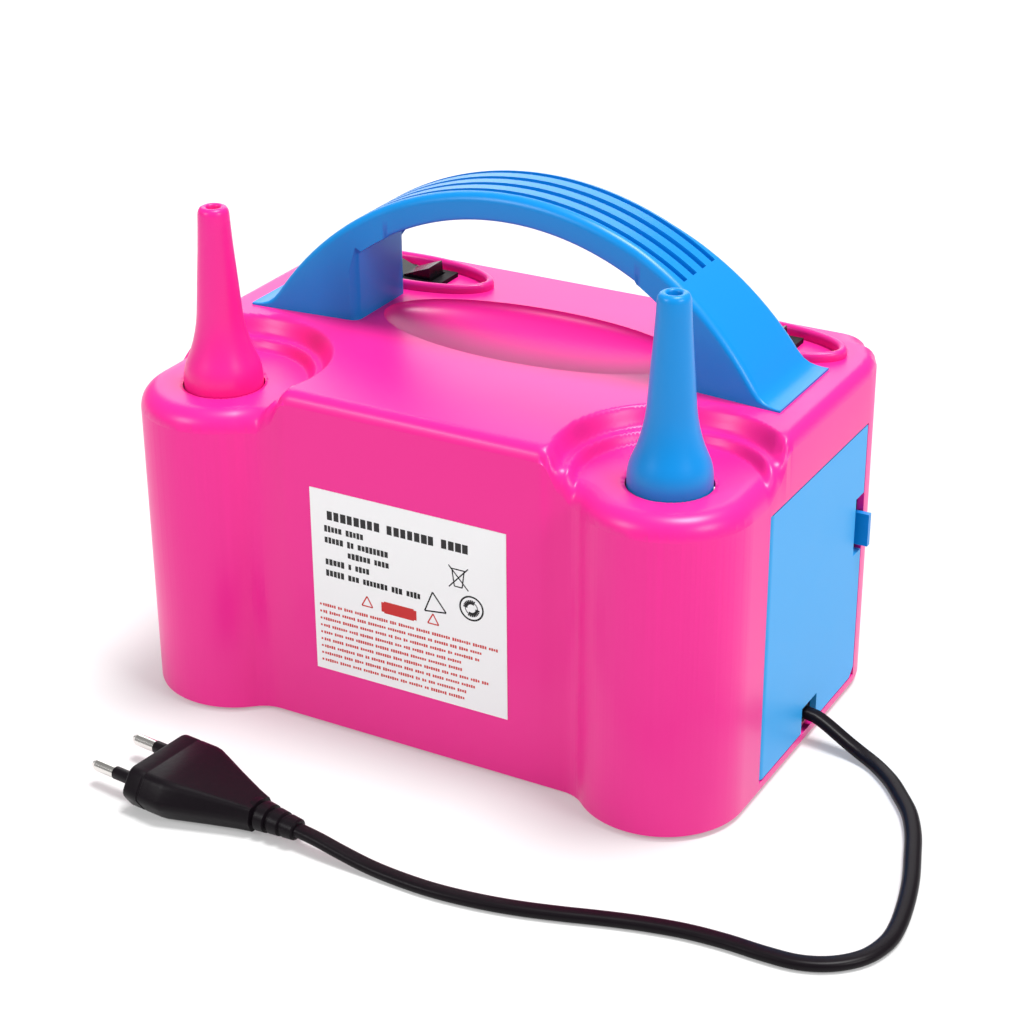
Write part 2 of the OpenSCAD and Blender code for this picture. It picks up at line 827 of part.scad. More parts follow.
// ---------- rocker switches ----------

module rocker_switch() {
    at_seat() difference() {
        union() {
            translate([-15.5, -7, 0]) cube([31, 14, 1.6]);
            translate([-13.8, -6.3, -20]) cube([27.6, 12.6, 20]);
        }
        translate([-11.8, -4.8, -9]) cube([23.6, 9.6, 20]);
        translate([0, 10, 1]) rotate([90, 0, 0]) cylinder(r = 1.06, h = 20, $fn = 32);
    }
    at_seat() for (x = [-9, 0, 9]) translate([x - 0.4, -2.4, -27]) cube([0.8, 4.8, 7]);
}

// A rocker with a shallow V on top, on a pivot across its middle.
module rocker() {
    at_seat() {
        translate([0, 4.5, 0]) rotate([90, 0, 0]) linear_extrude(9)
            polygon([[-10.5, 6], [0, 2], [10.5, 6], [11, 0.8], [6, -3.5], [-6, -3.5], [-11, 0.8]]);
        translate([0, 5.6, 1]) rotate([90, 0, 0]) cylinder(r = 1, h = 11.2, $fn = 32);
    }
}

module at_seat() {
    translate([seat_x, seat_y, seat_floor_z]) children();
}

// ---------- assembly ----------

upper_casing();
base_plate();
rubber_feet();
casing_screws();
carry_handle();
handle_screws();
rating_label();
cord_door();
door_hinge_pins();
door_latch();
cord_compartment();
cord_gland();
power_cord();
plug_body();
plug_pins();
terminal_block();
mains_lead();
color(pink) on_side(-1) nozzle();  // left_nozzle
color(blue) on_side(1) nozzle();  // right_nozzle
color(black) on_side(-1) nozzle_seal();  // left_nozzle_seal
color(black) on_side(1) nozzle_seal();  // right_nozzle_seal
on_side(-1) nozzle_spring();  // left_nozzle_spring
on_side(1) nozzle_spring();  // right_nozzle_spring
color("ivory") on_side(-1) air_duct();  // left_air_duct
color("ivory") on_side(1) air_duct();  // right_air_duct
color(black) on_side(-1) trigger_switch();  // left_trigger_switch
color(black) on_side(1) trigger_switch();  // right_trigger_switch
color("red") on_side(-1) trigger_button();  // left_trigger_button
color("red") on_side(1) trigger_button();  // right_trigger_button
color("ivory") on_side(-1) fan_housing();  // left_fan_housing
color("ivory") on_side(1) fan_housing();  // right_fan_housing
color("ivory") on_side(-1) fan_cover();  // left_fan_cover
color("ivory") on_side(1) fan_cover();  // right_fan_cover
color("gainsboro") on_side(-1) impeller();  // left_impeller
color("gainsboro") on_side(1) impeller();  // right_impeller
color("silver") on_side(-1) stator();  // left_stator
color("silver") on_side(1) stator();  // right_stator
color("peru") on_side(-1) field_coils();  // left_field_coils
color("peru") on_side(1) field_coils();  // right_field_coils
color("silver") on_side(-1) armature();  // left_armature
color("silver") on_side(1) armature();  // right_armature
color("peru") on_side(-1) commutator();  // left_commutator
color("peru") on_side(1) commutator();  // right_commutator
color("silver") on_side(-1) bearings();  // left_bearings
color("silver") on_side(1) bearings();  // right_bearings
color("goldenrod") on_side(-1) brush_holders();  // left_brush_holders
color("goldenrod") on_side(1) brush_holders();  // right_brush_holders
color("ivory") on_side(-1) motor_bracket();  // left_motor_bracket
color("ivory") on_side(1) motor_bracket();  // right_motor_bracket
color(black) on_side(-1) rocker();  // left_rocker
color(black) on_side(1) rocker();  // right_rocker
color(black) on_side(-1) rocker_switch();  // left_rocker_switch
color(black) on_side(1) rocker_switch();  // right_rocker_switch
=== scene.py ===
"""Builds the looks of a twin-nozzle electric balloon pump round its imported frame."""

import math
import random

import bmesh
import bpy
from bpy.props import FloatProperty, FloatVectorProperty, PointerProperty
from mathutils import Matrix, Vector


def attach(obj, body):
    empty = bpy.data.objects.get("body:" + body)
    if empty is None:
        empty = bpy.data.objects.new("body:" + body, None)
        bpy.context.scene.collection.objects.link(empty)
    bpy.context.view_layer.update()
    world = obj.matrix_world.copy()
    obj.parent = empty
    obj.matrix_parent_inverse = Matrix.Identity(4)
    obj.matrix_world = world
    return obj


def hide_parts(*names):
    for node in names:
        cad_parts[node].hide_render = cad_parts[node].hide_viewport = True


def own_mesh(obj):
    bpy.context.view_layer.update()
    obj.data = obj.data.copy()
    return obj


bl_info = {
    "name": "Balloon Pump",
    "version": (1, 0, 0),
    "blender": (4, 5, 0),
    "location": "3D View > Sidebar > Pump",
    "description": "Builds a twin-nozzle balloon pump piece by piece",
    "category": "Add Mesh",
}

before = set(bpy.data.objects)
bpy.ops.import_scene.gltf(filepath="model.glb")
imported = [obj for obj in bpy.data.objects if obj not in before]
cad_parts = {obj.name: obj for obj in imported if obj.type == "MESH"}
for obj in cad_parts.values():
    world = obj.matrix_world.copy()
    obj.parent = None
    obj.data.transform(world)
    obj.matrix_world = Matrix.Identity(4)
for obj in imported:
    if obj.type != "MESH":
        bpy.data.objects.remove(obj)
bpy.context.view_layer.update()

MM = 0.001

# ---------- measures of the pump, in millimetres ----------

SIDE_X = 107.5
REAR_Y = 72.0
FRONT_Y = -61.4
REAR_R = 27.0
TOWER_X, TOWER_Y, TOWER_R = 80.2, -44.7, 27.3
VALLEY_X, VALLEY_Y, VALLEY_R = 53.35, -73.4, 12.0
TOWER_Z = 108.5
PLATEAU_Z = 118.0
LEDGE_R = 33.0
SKIRT_Z = 1.0
WALL = 2.2
TOWER_ROOF_Z = 106.2
WELL_R = 13.4
SEAT_X, SEAT_Y, SEAT_A, SEAT_B = 65.0, 46.8, 33.0, 13.7
SEAT_RIM, SEAT_FLOOR = 3.0, 117.4
SWITCH_HALF_W, SWITCH_HALF_D = 14.0, 6.5
DISH_Y, DISH_A, DISH_B, DISH_DEPTH = 16.5, 55.0, 23.5, 9.0
HANDLE_Y = 15.8
ARC_TOP_R, ARC_TOP_Z = 106.0, 64.0
ARC_UNDER_R, ARC_UNDER_Z = 92.0, 69.0
LEG_IN, FOOT_OUT = 57.0, 97.0
GRIP_HALF, FOOT_HALF = 14.5, 19.3
GRIP_BLEND = 12.0
FOOT_LOW_Z, FOOT_EDGE_Z = 117.9, 118.8
GROOVE_DEPTH, GROOVE_REACH = 1.9, 60.0
DOOR_LOW, DOOR_HIGH = (102.9, -32.3, 4.8), (112, 45.7, 97.8)
VENT_X, VENT_HALF, VENT_Z, VENT_STEP, VENT_H = 37.0, 16.0, 42.0, 6.0, 2.4
VENT_ROWS = 7
LABEL_X, LABEL_TOP = -37.0, 87.5
PIN_SPACING, PIN_Z = 18.6, 7.0
PLUG_TURN = 174

NOZZLE_PROFILE = [
    (2.2, 80.0), (2.2, 120.0), (2.2, 167.4), (2.45, 167.9), (3.0, 168.15), (3.6, 168.05),
    (4.3, 167.7), (4.8, 166.9), (5.05, 165.8), (5.3, 161.0), (5.75, 154.0), (6.7, 142.0),
    (7.05, 137.0), (7.4, 132.5), (7.85, 129.0), (8.45, 126.0), (9.2, 123.0), (10.1, 120.2),
    (11.1, 117.7), (11.9, 115.8), (12.45, 114.0), (12.8, 112.0), (12.9, 110.0), (12.9, 99.2),
    (14.8, 99.2), (14.8, 97.0), (9.0, 97.0), (9.0, 76.2), (7.0, 76.2), (7.0, 80.0),
]

CORD_Z = 1.75
ROUTE = [
    (106, 7, 10), (110, 7, 9.4), (114, 6.5, 7.9), (118.5, 5.5, 6), (123, 4.5, 4.1),
    (128, 3, 2.6), (134, 0, CORD_Z), (141, -6, CORD_Z), (147, -13, CORD_Z),
    (153, -21, CORD_Z), (158, -31, CORD_Z), (162, -42, CORD_Z), (166, -54, CORD_Z),
    (169, -66, CORD_Z), (171, -78, CORD_Z), (171, -87, CORD_Z), (168, -96, CORD_Z),
    (161.5, -103, CORD_Z), (153, -107, CORD_Z), (143, -108, CORD_Z), (131, -108, CORD_Z),
    (119, -109, CORD_Z), (107, -111.5, CORD_Z), (95, -115, CORD_Z), (83, -119, CORD_Z),
    (71, -122.5, CORD_Z), (59, -125, CORD_Z), (46, -126.5, CORD_Z), (34, -126.5, CORD_Z),
    (23, -126, 2.2), (13, -125.5, 3.6), (4, -124.8, 5), (-4, -124, 5.6),
]
CORD_W, CORD_T = 5.4, 3.4

# Camera and lamps, in metres
CAMERA_LENS, CAMERA_ROLL = 84.30, -0.76
CAMERA_SHIFT = (0.0277, -0.0066)
CAMERA_PLACE = (0.3525, -0.6245, 0.4122)
CAMERA_FORWARD = (-0.45072, 0.77803, -0.43764)
LAMP_TARGET = (0, 0, 0.08)

# Finish of the outer frame parts that are kept, by material slot.
FINISHES = {
    "pink_plastic": ["base_plate"],
    "blue_plastic": ["door_latch"],
    "door_blue_plastic": ["cord_door"],
    "black_plastic": ["left_rocker_switch", "right_rocker_switch", "cord_compartment"],
    "rocker_plastic": ["left_rocker", "right_rocker"],
    "black_rubber": ["rubber_feet", "cord_gland"],
    "sticker_vinyl": ["rating_label"],
    "nickel_plate": ["plug_pins"],
}


# ---------- small geometry helpers ----------


def arc(centre, radius, start, end, step=1.5):
    """Points along an arc, in millimetres, from one angle to another in degrees."""
    count = max(3, int(abs(math.radians(end - start)) * radius / step))
    turns = [math.radians(start + (end - start) * k / count) for k in range(count + 1)]
    return [(centre[0] + radius * math.cos(t), centre[1] + radius * math.sin(t)) for t in turns]


def smoothstep(t):
    """Eases from 0 to 1 as t goes from 0 to 1."""
    t = min(1.0, max(0.0, t))
    return t * t * (3 - 2 * t)


def smooth_path(points, step):
    """Catmull-Rom curve through the points, in even steps."""
    pts = [Vector(p) for p in points]
    pts = [2 * pts[0] - pts[1]] + pts + [2 * pts[-1] - pts[-2]]
    out = []
    for a, b, c, d in zip(pts, pts[1:], pts[2:], pts[3:]):
        count = max(2, round((c - b).length / step))
        for k in range(count):
            t = k / count
            out.append(0.5 * (2 * b + (c - a) * t + (2 * a - 5 * b + 4 * c - d) * t * t
                              + (3 * b - a - 3 * c + d) * t * t * t))
    return out + [pts[-2]]


def loft(bm, rings):
    """Extrudes the first ring's face through the other rings, as one closed solid."""
    face = bm.faces.new([bm.verts.new(p) for p in rings[0]])
    for count, ring in enumerate(rings[1:]):
        made = bmesh.ops.extrude_face_region(bm, geom=[face])["geom"]
        if count:
            bmesh.ops.delete(bm, geom=[face], context="FACES_ONLY")
        face = next(g for g in made if isinstance(g, bmesh.types.BMFace))
        for vert, place in zip(face.verts, ring):
            vert.co = place


def tidy(bm, merge=0.001):
    """Joins doubled points and turns every face outwards."""
    bmesh.ops.remove_doubles(bm, verts=bm.verts, dist=merge)
    bmesh.ops.recalc_face_normals(bm, faces=bm.faces)


def bevel(bm, edges, offset, segments=3):
    """Rounds edges by an offset, in millimetres."""
    bmesh.ops.bevel(bm, geom=edges, offset=offset, offset_type="OFFSET", segments=segments,
                    profile=0.5, affect="EDGES", material=-1, clamp_overlap=True)


def box(bm, low, high):
    """Adds a box between two corners."""
    size = Vector(high) - Vector(low)
    centre = (Vector(high) + Vector(low)) / 2
    matrix = Matrix.Translation(centre) @ Matrix.Diagonal((*size, 1))
    bmesh.ops.create_cube(bm, size=1, matrix=matrix)


def make_object(bm, name):
    """Turns a mesh in millimetres into an object in metres."""
    bmesh.ops.scale(bm, vec=(MM, MM, MM), verts=bm.verts)
    mesh = bpy.data.meshes.new(name)
    bm.to_mesh(mesh)
    bm.free()
    obj = bpy.data.objects.new(name, mesh)
    bpy.context.scene.collection.objects.link(obj)
    return obj


def smooth_shade(obj, angle=35):
    """Shades smoothly, with a crisp line where faces meet at more than the angle."""
    for polygon in obj.data.polygons:
        polygon.use_smooth = True
    obj.data.set_sharp_from_angle(angle=math.radians(angle))


def dress(obj, slot, body, *replaced):
    """Gives a piece its finish, its body and the frame parts it stands for."""
    obj.data.materials.clear()
    obj.data.materials.append(finish(slot))
    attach(obj, body)
    if replaced:
        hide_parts(*replaced)
    return obj


def carve(obj, cutter, operation="DIFFERENCE"):
    """Cuts or joins one solid with another and removes the tool."""
    modifier = obj.modifiers.new("carve", "BOOLEAN")
    modifier.operation = operation
    modifier.solver = "EXACT"
    modifier.object = cutter
    graph = bpy.context.evaluated_depsgraph_get()
    mesh = bpy.data.meshes.new_from_object(obj.evaluated_get(graph))
    obj.modifiers.clear()
    old = obj.data
    obj.data = mesh
    mesh.name = obj.name
    bpy.data.meshes.remove(old)
    bpy.data.objects.remove(cutter)


# ---------- finishes ----------


def mottle_group():
    """Shared group: fine uneven gloss and a faint moulded surface."""
    group = bpy.data.node_groups.get("moulded surface")
    if group:
        return group
    group = bpy.data.node_groups.new("moulded surface", "ShaderNodeTree")
    face = group.interface
    for name, value in (("Scale", 60.0), ("Roughness", 0.3), ("Spread", 0.05), ("Relief", 0.1)):
        socket = face.new_socket(name, in_out="INPUT", socket_type="NodeSocketFloat")
        socket.default_value = value
    face.new_socket("Roughness", in_out="OUTPUT", socket_type="NodeSocketFloat")
    face.new_socket("Normal", in_out="OUTPUT", socket_type="NodeSocketVector")
    nodes, links = group.nodes, group.links
    start = nodes.new("NodeGroupInput")
    end = nodes.new("NodeGroupOutput")
    place = nodes.new("ShaderNodeTexCoord")
    cloud = nodes.new("ShaderNodeTexNoise")
    cloud.inputs["Detail"].default_value = 2.0
    links.new(place.outputs["Object"], cloud.inputs["Vector"])
    links.new(start.outputs["Scale"], cloud.inputs["Scale"])
    centred = nodes.new("ShaderNodeMath")
    centred.operation = "SUBTRACT"
    centred.inputs[1].default_value = 0.5
    links.new(cloud.outputs["Fac"], centred.inputs[0])
    spread = nodes.new("ShaderNodeMath")
    spread.operation = "MULTIPLY_ADD"
    links.new(centred.outputs[0], spread.inputs[0])
    links.new(start.outputs["Spread"], spread.inputs[1])
    links.new(start.outputs["Roughness"], spread.inputs[2])
    links.new(spread.outputs[0], end.inputs["Roughness"])
    bump = nodes.new("ShaderNodeBump")
    bump.inputs["Distance"].default_value = 0.0004
    links.new(cloud.outputs["Fac"], bump.inputs["Height"])
    links.new(start.outputs["Relief"], bump.inputs["Strength"])
    links.new(bump.outputs["Normal"], end.inputs["Normal"])
    return group


# slot: colour, roughness, metallic, pattern scale, gloss spread, relief
LOOKS = {
    "pink_plastic": ("pink", 0.33, 0.0, 45.0, 0.04, 0.03),
    "blue_plastic": ("blue", 0.33, 0.0, 45.0, 0.04, 0.03),
    "door_blue_plastic": ("door_blue", 0.42, 0.0, 60.0, 0.05, 0.04),
    "black_plastic": ("black", 0.5, 0.0, 900.0, 0.1, 0.15),
    "rocker_plastic": ((0.008, 0.007, 0.009), 0.22, 0.0, 60.0, 0.05, 0.03),
    "red_plastic": ((0.6, 0.03, 0.03), 0.35, 0.0, 60.0, 0.05, 0.03),
    "black_rubber": ((0.016, 0.014, 0.018), 0.6, 0.0, 500.0, 0.1, 0.1),
    "cord_pvc": ("black", 0.36, 0.0, 120.0, 0.08, 0.08),
    "plug_pvc": ("black", 0.38, 0.0, 500.0, 0.08, 0.12),
    "sticker_vinyl": ((0.93, 0.93, 0.94), 0.45, 0.0, 200.0, 0.05, 0.02),
    "ivory_nylon": ((0.75, 0.72, 0.6), 0.45, 0.0, 80.0, 0.08, 0.05),
    "zinc_steel": ((0.6, 0.6, 0.62), 0.32, 1.0, 300.0, 0.12, 0.05),
    "spring_steel": ((0.55, 0.55, 0.57), 0.28, 1.0, 300.0, 0.1, 0.05),
    "lamination_steel": ((0.4, 0.4, 0.42), 0.42, 1.0, 400.0, 0.15, 0.1),
    "nickel_plate": ((0.75, 0.73, 0.7), 0.2, 1.0, 300.0, 0.08, 0.03),
    "copper_wire": ((0.6, 0.22, 0.08), 0.35, 1.0, 800.0, 0.15, 0.3),
    "copper_segments": ((0.65, 0.3, 0.15), 0.3, 1.0, 300.0, 0.1, 0.05),
    "bearing_bronze": ((0.55, 0.4, 0.2), 0.4, 1.0, 300.0, 0.1, 0.05),
    "brush_brass": ((0.65, 0.5, 0.22), 0.32, 1.0, 300.0, 0.1, 0.05),
}

# Slots with a weaker shine
DULL = ("black_plastic", "black_rubber", "cord_pvc", "plug_pvc", "sticker_vinyl")
DULL_SHINE, SHINE = 0.12, 0.35


def finish(slot):
    """The material of a slot, made the first time it is asked for."""
    material = bpy.data.materials.get("finish_" + slot)
    if material:
        return material
    colour, roughness, metallic, scale, spread, relief = LOOKS[slot]
    if isinstance(colour, str):
        colour = getattr(bpy.context.scene.pump_colours, colour)
    material = bpy.data.materials.new("finish_" + slot)
    material.use_nodes = True
    tree = material.node_tree
    shader = tree.nodes["Principled BSDF"]
    shader.inputs["Base Color"].default_value = (*colour, 1)
    shader.inputs["Metallic"].default_value = metallic
    shader.inputs["Specular IOR Level"].default_value = DULL_SHINE if slot in DULL else SHINE
    surface = tree.nodes.new("ShaderNodeGroup")
    surface.node_tree = mottle_group()
    surface.inputs["Scale"].default_value = scale
    surface.inputs["Roughness"].default_value = roughness
    surface.inputs["Spread"].default_value = spread
    surface.inputs["Relief"].default_value = relief
    tree.links.new(surface.outputs["Roughness"], shader.inputs["Roughness"])
    tree.links.new(surface.outputs["Normal"], shader.inputs["Normal"])
    return material


# ---------- shape of the casing ----------


def outline(inset):
    """Plan of the casing, counter-clockwise from the front middle."""
    turn = math.degrees(math.atan2(TOWER_Y - VALLEY_Y, TOWER_X - VALLEY_X))
    half = arc((VALLEY_X, VALLEY_Y), VALLEY_R + inset, 90, turn)
    half += arc((TOWER_X, TOWER_Y), TOWER_R - inset, 180 + turn, 360)[1:]
    half += arc((SIDE_X - REAR_R, REAR_Y - REAR_R), REAR_R - inset, 0, 90)
    return half + [(-x, y) for x, y in reversed(half)]


def edge_distance(x, y):
    """Distance inwards from the casing's outline, in millimetres."""
    x = abs(x)
    near = [REAR_Y - y, SIDE_X - x]
    if x > SIDE_X - REAR_R and y > REAR_Y - REAR_R:
        near = [REAR_R - math.hypot(x - SIDE_X + REAR_R, y - REAR_Y + REAR_R)]
    if x <= VALLEY_X:
        near.append(y - FRONT_Y)
    if y < TOWER_Y + TOWER_R:
        turn = math.atan2(TOWER_Y - VALLEY_Y, TOWER_X - VALLEY_X)
        angle = math.atan2(y - VALLEY_Y, x - VALLEY_X)
        if turn <= angle <= math.pi / 2:
            near.append(math.hypot(x - VALLEY_X, y - VALLEY_Y) - VALLEY_R)
        around = math.atan2(y - TOWER_Y, x - TOWER_X) % (2 * math.pi)
        if around >= math.pi + turn:
            near = [TOWER_R - math.hypot(x - TOWER_X, y - TOWER_Y)]
    return min(near)


def roof_height(x, y):
    """Height of the casing's top surface, in millimetres."""
    corner, edge = 6.5, 4.5
    inwards = max(0.0, edge_distance(x, y))
    ring = math.hypot(abs(x) - TOWER_X, y - TOWER_Y)
    beyond = ring - LEDGE_R
    if inwards < corner and beyond < corner:
        s = corner - math.hypot(corner - inwards, corner - beyond)
    else:
        s = min(inwards, beyond)
    bend = min(edge, max(0.0, s))
    crisp = PLATEAU_Z - edge + math.sqrt(edge ** 2 - (edge - bend) ** 2)
    crisp -= 1.5 * (1 - smoothstep((s + 1.6) / 1.6))
    soft = PLATEAU_Z - 6 * (1 - smoothstep((s + 1.3) / 4.6))
    z = crisp + (soft - crisp) * smoothstep((inwards - beyond) / 5 + 0.4)
    if s < -2.6:
        z = TOWER_Z + 3.5 * smoothstep((s + 6) / 3.2)
    if inwards < 7:
        z -= smoothstep(-s / 3) * (7 - math.sqrt(49 - (7 - inwards) ** 2))
    return z - 0.5 * (1 - smoothstep((ring - WELL_R) / 1.1))


def slice_mesh(bm, axis, places):
    """Cuts every face at planes across one axis."""
    normal = Vector((0, 0, 0))
    normal[axis] = 1
    for place in places:
        bmesh.ops.bisect_plane(bm, geom=bm.verts[:] + bm.edges[:] + bm.faces[:], dist=1e-5,
                               plane_co=normal * place, plane_no=normal)


def spaced(start, end, step):
    """Even places from start to end, about a step apart."""
    count = round((end - start) / step)
    return [start + (end - start) * k / count for k in range(count + 1)]


def casing_block():
    """Closed solid of the casing's outside."""
    bm = bmesh.new()
    face = bm.faces.new([bm.verts.new((x, y, 0)) for x, y in outline(0)])
    for width in (0.25, 0.65, 1.1, 1.4, 1.7, 1.9):
        bmesh.ops.inset_region(bm, faces=[face], thickness=width, use_even_offset=True)
    fine = spaced(40.13, 106.9, 0.95)
    slice_mesh(bm, 0, spaced(-33, 33, 6.6) + fine + [-x for x in fine])
    slice_mesh(bm, 1, spaced(-71.3, -9, 0.95) + spaced(-3, 66, 6.9))
    for vert in bm.verts:
        vert.co.z = roof_height(vert.co.x, vert.co.y)
    for level, inset in ((2.6, 0.0), (1.7, 0.25), (SKIRT_Z, 0.9)):
        rim = [e for e in bm.edges if e.is_boundary]
        made = bmesh.ops.extrude_edge_only(bm, edges=rim)["geom"]
        for vert in (g for g in made if isinstance(g, bmesh.types.BMVert)):
            x, y = vert.co.x, vert.co.y
            slope = Vector((edge_distance(x + 0.1, y) - edge_distance(x - 0.1, y),
                            edge_distance(x, y + 0.1) - edge_distance(x, y - 0.1), 0))
            vert.co += slope.normalized() * inset
            vert.co.z = level
    bmesh.ops.holes_fill(bm, edges=[e for e in bm.edges if e.is_boundary], sides=0)
    tidy(bm)
    return make_object(bm, "casing")


def prism(points, low, high):
    """Closed upright solid of a plan, as an object used for cutting."""
    bm = bmesh.new()
    loft(bm, [[(x, y, z) for x, y in points] for z in (low, high)])
    tidy(bm)
    return make_object(bm, "cutter")


def ellipse(centre, a, b, count=96):
    """Points round an ellipse, counter-clockwise."""
    turns = [2 * math.pi * k / count for k in range(count)]
    return [(centre[0] + a * math.cos(t), centre[1] + b * math.sin(t)) for t in turns]


def seat_ring(side):
    """Raised rim round a switch seat, rounded over its top."""
    bm = bmesh.new()
    profile = [(0, -1.5), (0, 1.6), (0.25, 2.4), (0.8, 2.88), (1.4, 3.0), (2.0, 2.92),
               (2.6, 2.5), (SEAT_RIM, 1.8), (SEAT_RIM, -1.5)]
    rings = []
    for inset, rise in profile:
        oval = ellipse((side * SEAT_X, SEAT_Y), SEAT_A - inset, SEAT_B - inset)
        rings.append([(x, y, PLATEAU_Z + rise) for x, y in oval])
    loops = []
    for ring in rings:
        verts = [bm.verts.new(p) for p in ring]
        loops.append([bm.edges.new((a, b)) for a, b in zip(verts, verts[1:] + verts[:1])])
    for one, two in zip(loops, loops[1:] + loops[:1]):
        bmesh.ops.bridge_loops(bm, edges=one + two)
    tidy(bm)
    return make_object(bm, "seat_ring")


def box_object(low, high):
    """Box between two corners, as an object used for cutting."""
    bm = bmesh.new()
    box(bm, low, high)
    return make_object(bm, "cutter")


def roof_normals(obj):
    """Shades the curved top by its exact slope."""
    mesh = obj.data
    normals = [c.vector.copy() for c in mesh.corner_normals]
    exact = {}
    for polygon in mesh.polygons:
        if polygon.normal.z < 0.05:
            continue
        for loop in polygon.loop_indices:
            index = mesh.loops[loop].vertex_index
            if index not in exact:
                x, y, z = mesh.vertices[index].co / MM
                exact[index] = None
                if z > 100 and abs(z - roof_height(x, y)) < 0.05:
                    step = 0.12
                    slope = Vector((roof_height(x - step, y) - roof_height(x + step, y),
                                    roof_height(x, y - step) - roof_height(x, y + step),
                                    2 * step))
                    exact[index] = slope.normalized()
            if exact[index] and exact[index].dot(polygon.normal) > 0.35:
                normals[loop] = exact[index]
    mesh.normals_split_custom_set(normals)


# ---------- shape of the handle ----------


def handle_half(x):
    """Half width of the handle, from the grip to each foot."""
    reach = max(0.0, abs(x) - LEG_IN + GRIP_BLEND)
    return GRIP_HALF + (FOOT_HALF - GRIP_HALF) * reach / (FOOT_OUT - LEG_IN + GRIP_BLEND)


def handle_top(x):
    """Half of the handle's top profile, as distances from its middle and heights."""
    half = handle_half(x)
    reach = abs(x)
    top = ARC_TOP_Z + math.sqrt(max(0.0, ARC_TOP_R ** 2 - x * x))
    flare = FOOT_EDGE_Z + 2.6 * smoothstep((FOOT_OUT - reach) / 11) ** 1.5
    top = max(top, flare, FOOT_EDGE_Z)
    edge_r = min(3.2, max(0.15, (top - 118.2) * 0.6))
    groove = GROOVE_DEPTH if reach < GROOVE_REACH else 0.0
    across = [(0, 0), (2.0, 0), (2.2, 1), (3.4, 1.08), (4.6, 1), (4.8, 0), (6.8, 0), (8.8, 0),
              (9.0, 1), (10.2, 1.08), (11.1, 1), (11.3, 0)]
    side = [(y, top - cut * groove) for y, cut in across]
    for k in range(9):
        turn = math.pi / 2 * k / 8
        side.append((half - edge_r + edge_r * math.sin(turn),
                     top - edge_r + edge_r * math.cos(turn)))
    return side


def handle_ring(x, inner):
    """One cross-section of the handle; inner ones end at the arch's underside."""
    side = handle_top(x)
    half = handle_half(x)
    under = ARC_UNDER_Z + math.sqrt(ARC_UNDER_R ** 2 - min(abs(x), LEG_IN) ** 2)
    low = under if inner else FOOT_LOW_Z
    height = side[-1][1] - FOOT_LOW_Z
    share = min(1.0, (under - FOOT_LOW_Z) / height)
    at_leg = 1 if abs(x) < LEG_IN + 0.1 else 0.7
    middle = under if inner else FOOT_LOW_Z + height * share * at_leg
    points = [(x, HANDLE_Y - half, low), (x, HANDLE_Y - half, middle)]
    points += [(x, HANDLE_Y - y, z) for y, z in reversed(side)]
    points += [(x, HANDLE_Y + y, z) for y, z in side[1:]]
    return points + [(x, HANDLE_Y + half, middle), (x, HANDLE_Y + half, low)]


# ---------- shape of the plug ----------


def rounded(corners, radius, count=4):
    """Polygon in two dimensions with its corners rounded."""
    out = []
    for before, corner, after in zip(corners[-1:] + corners[:-1], corners,
                                     corners[1:] + corners[:1]):
        corner = Vector(corner)
        to_before = (Vector(before) - corner).normalized() * radius
        to_after = (Vector(after) - corner).normalized() * radius
        for k in range(count + 1):
            t = k / count
            out.append(corner + to_before * (1 - t) ** 2 + to_after * t * t)
    return out


def on_plug(points):
    """Places points given along the plug, across it and above its lead."""
    turn = Matrix.Translation(ROUTE[-1]) @ Matrix.Rotation(math.radians(PLUG_TURN), 4, "Z")
    return [turn @ Vector(p) for p in points]


def plug_ring(x, wide, flat, thick, rise, radius):
    """One six-sided cross-section of the plug's body, with rounded corners."""
    corners = [(-flat, -thick), (flat, -thick), (wide, 0), (flat, thick), (-flat, thick),
               (-wide, 0)]
    return on_plug([(x, y, z + rise) for y, z in rounded(corners, radius)])


# ---------- label print ----------


def stroke(bm, start, end, width, surface=FRONT_Y - 0.25, depth=0.05):
    """Thin printed line on the front of the casing, between two points of its label."""
    a = Vector((start[0] + LABEL_X, 0, LABEL_TOP - start[1]))
    b = Vector((end[0] + LABEL_X, 0, LABEL_TOP - end[1]))
    along = b - a
    turn = math.atan2(along.z, along.x)
    matrix = (Matrix.Translation((a + b) / 2 + Vector((0, surface, 0)))
              @ Matrix.Rotation(-turn, 4, "Y")
              @ Matrix.Diagonal((along.length, depth, width, 1)))
    bmesh.ops.create_cube(bm, size=1, matrix=matrix)


# ---------- settings ----------


class PumpColours(bpy.types.PropertyGroup):
    """Colours of the moulded parts."""

    pink: FloatVectorProperty(name="Casing", description="Colour of the casing", size=3,
                              subtype="COLOR", min=0, max=1, default=(0.88, 0.016, 0.29))
    blue: FloatVectorProperty(name="Handle", description="Colour of the handle and one nozzle",
                              size=3, subtype="COLOR", min=0, max=1, default=(0.0, 0.25, 0.68))
    door_blue: FloatVectorProperty(name="Door", description="Colour of the cord door", size=3,
                                   subtype="COLOR", min=0, max=1, default=(0.03, 0.36, 0.80))
    black: FloatVectorProperty(name="Cord", description="Colour of the cord and its plug",
                               size=3, subtype="COLOR", min=0, max=1,
                               default=(0.006, 0.004, 0.006))


class PumpSizes(bpy.types.PropertyGroup):
    """Sizes that a user may vary a little."""

    cord_step: FloatProperty(name="Cord step", description="Distance between the cord's rings",
                             default=2.0 * MM, min=0.5 * MM, max=5 * MM, unit="LENGTH")
    lamp_power: FloatProperty(name="Key light", description="Power of the main soft light",
                              default=15.0, min=0, max=100, subtype="POWER", unit="POWER")


# ---------- stage and pieces ----------


